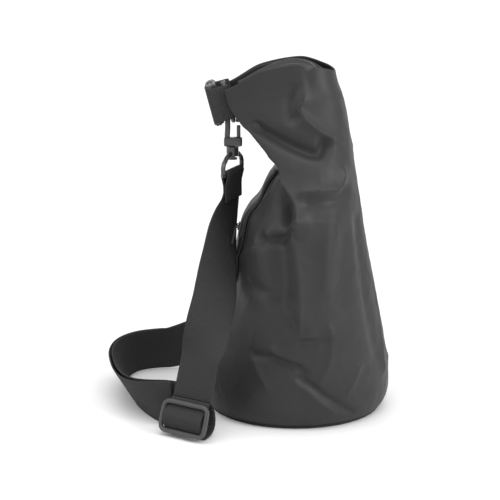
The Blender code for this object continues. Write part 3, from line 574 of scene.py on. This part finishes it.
def roll_profile():
    """A flattened spiral of the doubled mouth, as (outwards, up)."""
    sheet_thick, growth, core, turns, steps = 1.2, 1.5, 1.4, 1.25, 26
    outer, inner = [], []
    for k in range(int(turns * steps) + 1):
        turn = 2 * math.pi * k / steps
        half_thick = core + growth * turn / (2 * math.pi)
        reach = ROLL_HEIGHT / 2 - 3.3 + half_thick - core
        across, up = math.cos(turn), math.sin(turn)
        flat = abs(up) ** 0.45 * (1 if up >= 0 else -1)
        inner.append((half_thick * across, (reach - sheet_thick) * flat))
        outer.append(((half_thick + sheet_thick) * across, reach * flat))
    return outer + inner[::-1]


def wandered(point, calm=1.0):
    shift = noise.noise_vector(point / 30) * 1.0 + noise.noise_vector(point / 11) * 0.45
    return point + shift * calm


def make_roll():
    rows = []
    for centre, outwards, up in roll_frames(2.0):
        calm = 1 - float(smoothstep(-30, -52, centre.y)) * 0.85
        rows.append([tuple(settled(wandered(centre + a * outwards + b * up, calm)) * MM)
                     for a, b in roll_profile()])
    roll = grid_object("roll", rows, closed=True, caps=True)
    paint(roll, "coated_fabric")
    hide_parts("rolled_mouth")
    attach(roll, "bag")


# ---------------------------------------------------------------- webbing

def width_direction(heading, dip):
    heading, dip = math.radians(heading), math.radians(dip)
    return Vector((math.cos(heading) * math.cos(dip), math.sin(heading) * math.cos(dip), -math.sin(dip)))


def strap_stations(route, step=2.0):
    line = resampled(catmull_rom([list(p) for p in route], 10), step)
    stations = []
    for k, values in enumerate(line):
        ahead = Vector(line[min(k + 1, len(line) - 1)][:3]) - Vector(line[max(k - 1, 0)][:3])
        ahead.normalize()
        side = width_direction(values[3], values[4])
        side = (side - side.dot(ahead) * ahead).normalized()
        centre = Vector(values[:3])
        centre.z = max(centre.z, WEBBING / 2 * abs(side.z) + WEBBING_THICK)
        stations.append((centre, side))
    return stations


def folded(path, side, to_world, step=1.0):
    line = resampled(catmull_rom([list(p) + [0] for p in path], 6), step)
    return [(to_world(a, b), side) for a, b, _ in line]


def headings(stations):
    """The stations with their forward directions added."""
    found = []
    for k, (centre, side) in enumerate(stations):
        ahead = (stations[min(k + 1, len(stations) - 1)][0] - stations[max(k - 1, 0)][0]).normalized()
        found.append((centre, side, ahead))
    return found


def adjuster_axes():
    across = width_direction(ADJUSTER_TURN, 0)
    level = Vector((-across.y, across.x, 0))
    up = (Vector((0, 0, 1)) * math.cos(ADJUSTER_LEAN) - level * math.sin(ADJUSTER_LEAN)).normalized()
    out = up.cross(across)
    return across, up, (out if out.x > 0 else -out)


def adjuster_point(up_by, out_by):
    across, up, out = adjuster_axes()
    return ADJUSTER_CENTRE + up_by * up + out_by * out


def closure_frame():
    return Matrix.Translation(CLOSURE_CENTRE * MM) @ Matrix.Rotation(ROLL_LEAN, 4, "X")


def closure_point(x, y, z=0.0):
    return (closure_frame() @ (Vector((x, y, z)) * MM)) / MM


def anchor_pitch():
    return Matrix.Rotation(ANCHOR_PITCH, 3, "X")


def upper_hook_frame():
    depth = BUCKLE_BAR_X - UPPER_HOOK_X
    height = -math.sqrt(D_RING_RADIUS ** 2 - (depth - 3) ** 2)
    contact = closure_point(UPPER_HOOK_X, D_RING_Y, height)
    return Matrix.Translation((contact - Vector((0, HOOK_WIRE_Y, HOOK_WIRE_Z))) * MM)


def lower_hook_frame():
    pitch = anchor_pitch()
    contact = ANCHOR + pitch @ Vector((0, -3 - D_RING_RADIUS, 0))
    turn = pitch.to_4x4() @ Matrix(((0, 1, 0), (0, 0, 1), (1, 0, 0))).to_4x4()
    origin = contact - (turn.to_3x3() @ Vector((0, HOOK_WIRE_Y, HOOK_WIRE_Z)))
    return Matrix.Translation(origin * MM) @ turn


def band_profile(width, thick):
    """A webbing section (across, out): flat faces with thicker, rounded selvedges."""
    half, faces = width / 2, []
    for k in range(21):
        a = -half + width * k / 20
        edge = math.exp(-((half - abs(a)) / 1.3) ** 2)
        faces.append((a, thick / 2 * (1 + 0.12 * edge)))
    faces[0], faces[-1] = (-half + 0.3, thick / 2 * 0.85), (half - 0.3, thick / 2 * 0.85)
    ends = [(half, thick * 0.22), (half, -thick * 0.22)]
    return faces + ends + [(a, -b) for a, b in faces[::-1]] + [(-a, -b) for a, b in ends]


def webbing(name, stations, width, thick, nodes, body=None):
    rows, section = [], band_profile(width, thick)
    for centre, side, ahead in headings(stations):
        normal = ahead.cross(side).normalized()
        sway = noise.noise(centre / 26) * 0.3
        rows.append([tuple((centre + side * a + normal * (b + sway * 0.5)) * MM) for a, b in section])
    band = grid_object(name, rows, closed=True, caps=True)
    paint(band, "webbing")
    if nodes:
        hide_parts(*nodes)
    if body:
        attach(band, body)
    return band


def stitches(name, stations, patterns, lift, body):
    """Thread: short stitches on the face of a band, each from (along, across) to (along, across)."""
    stations = headings(stations)
    lengths = [0.0]
    for (a, _, _), (b, _, _) in zip(stations, stations[1:]):
        lengths.append(lengths[-1] + (b - a).length)

    def place(along, across):
        k = min(max(int(np.searchsorted(lengths, along)) - 1, 0), len(stations) - 2)
        t = (along - lengths[k]) / max(lengths[k + 1] - lengths[k], 1e-6)
        centre = stations[k][0].lerp(stations[k + 1][0], t)
        side, ahead = stations[k][1], stations[k][2]
        normal = ahead.cross(side).normalized()
        return centre + side * across + normal * lift, normal

    points, faces = [], []
    for (s0, a0), (s1, a1) in patterns:
        long = math.hypot(s1 - s0, a1 - a0)
        count = max(1, round(long / 3.0))
        for k in range(count):
            ends = []
            for t in ((k + 0.14) / count, (k + 0.86) / count):
                ends.append(place(s0 + (s1 - s0) * t, a0 + (a1 - a0) * t))
            (p, normal), (q, _) = ends
            along = (q - p).normalized()
            side = along.cross(normal).normalized()
            base = len(points)
            for point, end in ((p, 0.35), (p + (q - p) * 0.25, 1.0), (p + (q - p) * 0.75, 1.0), (q, 0.35)):
                for a, b in ((-0.32, -0.25), (0.32, -0.25), (0.25, 0.28), (-0.25, 0.28)):
                    points.append(tuple((point + side * a * end + normal * b * end) * MM))
            for r in range(3):
                for c in range(4):
                    d = (c + 1) % 4
                    low = base + 4 * r
                    faces.append((low + c, low + d, low + 4 + d, low + 4 + c))
            faces.append((base + 3, base + 2, base + 1, base))
            faces.append((base + 12, base + 13, base + 14, base + 15))
    made = mesh_object(name, points, faces)
    paint(made, "thread")
    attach(made, body)


def box_and_cross(s0, s1, width):
    a = width / 2 - 3
    return (((s0, -a), (s1, -a)), ((s1, -a), (s1, a)), ((s1, a), (s0, a)), ((s0, a), (s0, -a)),
            ((s0, -a), (s1, a)), ((s0, a), (s1, -a)))


def make_strap():
    """The sewn end on the upper hook and the front run, the bend in the adjuster, the ground run to the
    lower hook and the run that comes back over it, and the sewn end on the adjuster."""
    thick = WEBBING_THICK
    clear = 2.1 + GAP + thick / 2
    half = thick / 2 + 0.2
    upper, lower = upper_hook_frame(), lower_hook_frame()
    eye = upper @ Matrix.Rotation(math.radians(STRAP_TOP[0][3]), 4, "Z")
    side = eye.to_3x3() @ Vector((1, 0, 0))
    fold = ((half, -44), (half, -31), (1.7, -26), *arc((0, EYE_BAR_Z), clear, -20, 200), (-1.7, -26),
            (-half, -31), (-half, -44))
    loop = folded(fold, side, lambda a, b: (eye @ (Vector((0, a, b)) * MM)) / MM)
    straight = [(*adjuster_point(q, -6.6), ADJUSTER_TURN, 0) for q in (54, 42, 30, 22, 17)]
    run = strap_stations((*STRAP_TOP, *straight))
    if (loop[0][0] - run[0][0]).length < (loop[-1][0] - run[0][0]).length:
        loop = loop[::-1]
    joined = loop + [s for s in run if s[0].z < loop[-1][0].z - 4]
    first, last_one = len(loop) - 9, len(loop) + 14
    for _ in range(60):
        held = list(joined)
        for k in range(first, last_one):
            centre = (held[k - 1][0] + 2 * held[k][0] + held[k + 1][0]) / 4
            joined[k] = (centre, (held[k - 1][1] + 2 * held[k][1] + held[k + 1][1]).normalized())
    front = webbing("front_strap", joined, WEBBING, thick, ["strap_upper_end", "strap_front_run"])
    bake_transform(front)
    outer_leg = headings(loop[-14:])
    flip = -1 if outer_leg[5][2].cross(outer_leg[5][1]).y > 0 else 1
    stitches("upper_stitching", joined[len(loop) - 22:len(loop)], box_and_cross(3, 17, WEBBING),
             flip * (thick / 2 + 0.1), "upper_ring_and_eye")

    bends = ((17.0, -5.6), (15.0, -4.4), (12.8, -4.0), (6.2, 0.7), (0, 3.4), (-6.2, 0.6), (-12.8, -4.2),
             (-14.0, -6.2))
    bend = strap_stations([(*adjuster_point(q, n), ADJUSTER_TURN, 0) for q, n in bends], 1.0)
    webbing("adjuster_bend", bend, WEBBING, thick, ["strap_adjuster_bend"], "adjuster")

    tail = (lower @ (Vector((0, half, -40.1)) * MM)) / MM
    before = (lower @ (Vector((0, half, -52)) * MM)) / MM
    last = [(*p, -270, 90 - math.degrees(ANCHOR_PITCH)) for p in (before, tail)]
    first = (*adjuster_point(-13.8, -9.0), ADJUSTER_TURN, 0)
    ground = strap_stations((first, *STRAP_GROUND, *last))
    low_side = lower.to_3x3() @ Vector((1, 0, 0))
    low_fold = [(a, max(b, -40)) for a, b in fold]
    low_loop = folded(low_fold, low_side, lambda a, b: (lower @ (Vector((0, a, b)) * MM)) / MM)
    if (low_loop[0][0] - ground[-1][0]).length > (low_loop[-1][0] - ground[-1][0]).length:
        low_loop = low_loop[::-1]
    for k, (centre, direction) in enumerate(low_loop):
        if direction.dot(ground[-1][1]) < 0:
            low_loop[k] = (centre, -direction)
    outer = strap_stations((*STRAP_GROUND[4:], *last))
    marked = headings(outer)
    lifts = [2 * half + 1.8 * math.cos(math.pi * k / (2 * len(outer) - 2)) for k in range(len(outer))]
    back = [(c + lift * ahead.cross(s), s) for lift, (c, s, ahead) in zip(lifts, marked)]
    for name, line, node in (("ground_strap", ground, "strap_ground_run"),
                             ("return_strap", back, "strap_return_run")):
        middle = len(line) // 2
        far = webbing(name, line[middle:], WEBBING, thick, [node])
        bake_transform(far)
        near = webbing(name + "_near", line[:middle + 2], WEBBING, thick, ())
        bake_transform(near)
    webbing("lower_loop", low_loop, WEBBING, thick, ["strap_lower_end"], "lower_ring_and_eye")

    across = adjuster_axes()[0]
    hub = (0, ADJUSTER_BAR_SET_BACK)
    sewn = ((-2.0, -10), (-1.8, -7.6), (-1.2, -5.2), *arc(hub, 2.6, 275, 520), (-3.3, -5.4),
            (-3.8, -7.6), (-3.9, -10))
    webbing("adjuster_loop", folded(sewn, across, adjuster_point), WEBBING, thick,
            ["strap_adjuster_end"], "adjuster")


def make_tabs():
    clear = 2 + GAP + TAB_THICK / 2
    path = ((ROLL_END_X + 1.2, 10.4),
            *arc((BUCKLE_BAR_X, D_RING_Y), clear, 35, 0, 2),
            *arc((BUCKLE_BAR_X, BUCKLE_Y), clear, 0, -180),
            *arc((BUCKLE_BAR_X, D_RING_Y), clear, 180, 145, 2),
            (ROLL_END_X - 1.2, 10.4))
    up = closure_frame().to_3x3() @ Vector((0, 0, 1))
    for name, side, body in (("tab_right", 1, "bag"), ("tab_left", -1, "buckle_plug")):
        stations = folded(path, up, lambda a, b, side=side: closure_point(side * a, b))
        node = "closure_" + name
        webbing(name, stations, TAB_WIDTH, TAB_THICK, [node], body)
        lift = TAB_THICK / 2 + 0.12
        for s in (1, -1):
            stitches(f"{name}_thread_{'out' if s > 0 else 'in'}", stations,
                     (((11, -12.5), (11, 12.5)), ((13.2, -12.5), (13.2, 12.5))), s * lift, body)


def make_anchor():
    x, y, _ = ANCHOR
    clear = 2 + GAP + WEBBING_THICK / 2
    path = ((x + 3.2, y + 24), (x + 3.1, y + 12), *arc((x, y), clear, 0, -180), (x - 2.4, y + 5),
            (x + 0.6, y + 12), (x + 1.5, y + 24))
    pitch = anchor_pitch()
    stations = folded(path, pitch @ Vector((0, 0, 1)),
                      lambda a, b: ANCHOR + pitch @ Vector((a - x, b - y, 0)))
    webbing("anchor_web", stations, ANCHOR_WEBBING, WEBBING_THICK, ["anchor_loop"], "bag")


# ---------------------------------------------------------------- stage, camera and light

def make_stage():
    rows = []
    profile = [(-1.6, 1.8), (-1.55, 0.9), (-1.42, 0.42), (-1.2, 0.14), (-0.95, 0.03), (-0.7, 0.0),
               (0.5, 0.0), (3.0, 0.0)]
    curve = catmull_rom([[x, z, 0] for x, z in profile], 8)
    for x, z, _ in curve:
        rows.append([(x, y, max(z, 0.0) - 0.0001) for y in (-3.0, -1.0, 1.0, 3.0)])
    floor = grid_object("floor", rows)
    paint(floor, "floor")


def make_camera():
    target = Vector((0, -0.041, 0.143))
    elevation = math.radians(13)
    camera = bpy.data.objects.new("camera", bpy.data.cameras.new("camera"))
    bpy.context.scene.collection.objects.link(camera)
    back = Vector((math.cos(elevation), 0, math.sin(elevation)))
    camera.location = target + back * 1.35
    camera.rotation_euler = (-back).to_track_quat("-Z", "Y").to_euler()
    camera.data.lens = 107
    camera.data.sensor_width = 36
    bpy.context.scene.camera = camera


def area_light(name, place, towards, size, power, colour=(1, 1, 1)):
    light = bpy.data.lights.new(name, "AREA")
    light.shape = "RECTANGLE"
    light.size, light.size_y = size
    light.energy = power
    light.color = colour
    obj = bpy.data.objects.new(name, light)
    bpy.context.scene.collection.objects.link(obj)
    obj.location = place
    obj.rotation_euler = (Vector(towards) - Vector(place)).to_track_quat("-Z", "Y").to_euler()


def make_light():
    scene = bpy.context.scene
    world = bpy.data.worlds.new("world")
    scene.world = world
    world.use_nodes = True
    world.node_tree.nodes["Background"].inputs["Color"].default_value = (1, 1, 1, 1)
    world.node_tree.nodes["Background"].inputs["Strength"].default_value = 0.7
    area_light("top", (0.25, -0.1, 1.5), (0, 0, 0.1), (1.6, 1.6), 16)
    area_light("key", (0.75, 1.35, 0.9), (0, 0, 0.15), (0.8, 1.0), 18)
    area_light("rim", (0.2, -1.4, 0.8), (0, -0.1, 0.2), (0.8, 1.0), 5)
    scene.view_settings.view_transform = "Standard"
    scene.view_settings.look = "None"
    scene.view_settings.exposure = 0.0


def finish_cad_nodes():
    """The hardware is shown as built, in its own finish."""
    for name, node in frame["nodes"].items():
        slot = next(p["material_slot"] for p in frame["record"]["subparts"] if p["node"] == name)
        node.data.materials.clear()
        node.data.materials.append(SHADES[slot])


finish_cad_nodes()
make_body()
make_pocket()
make_roll()
make_strap()
make_tabs()
make_anchor()
make_stage()
make_camera()
make_light()
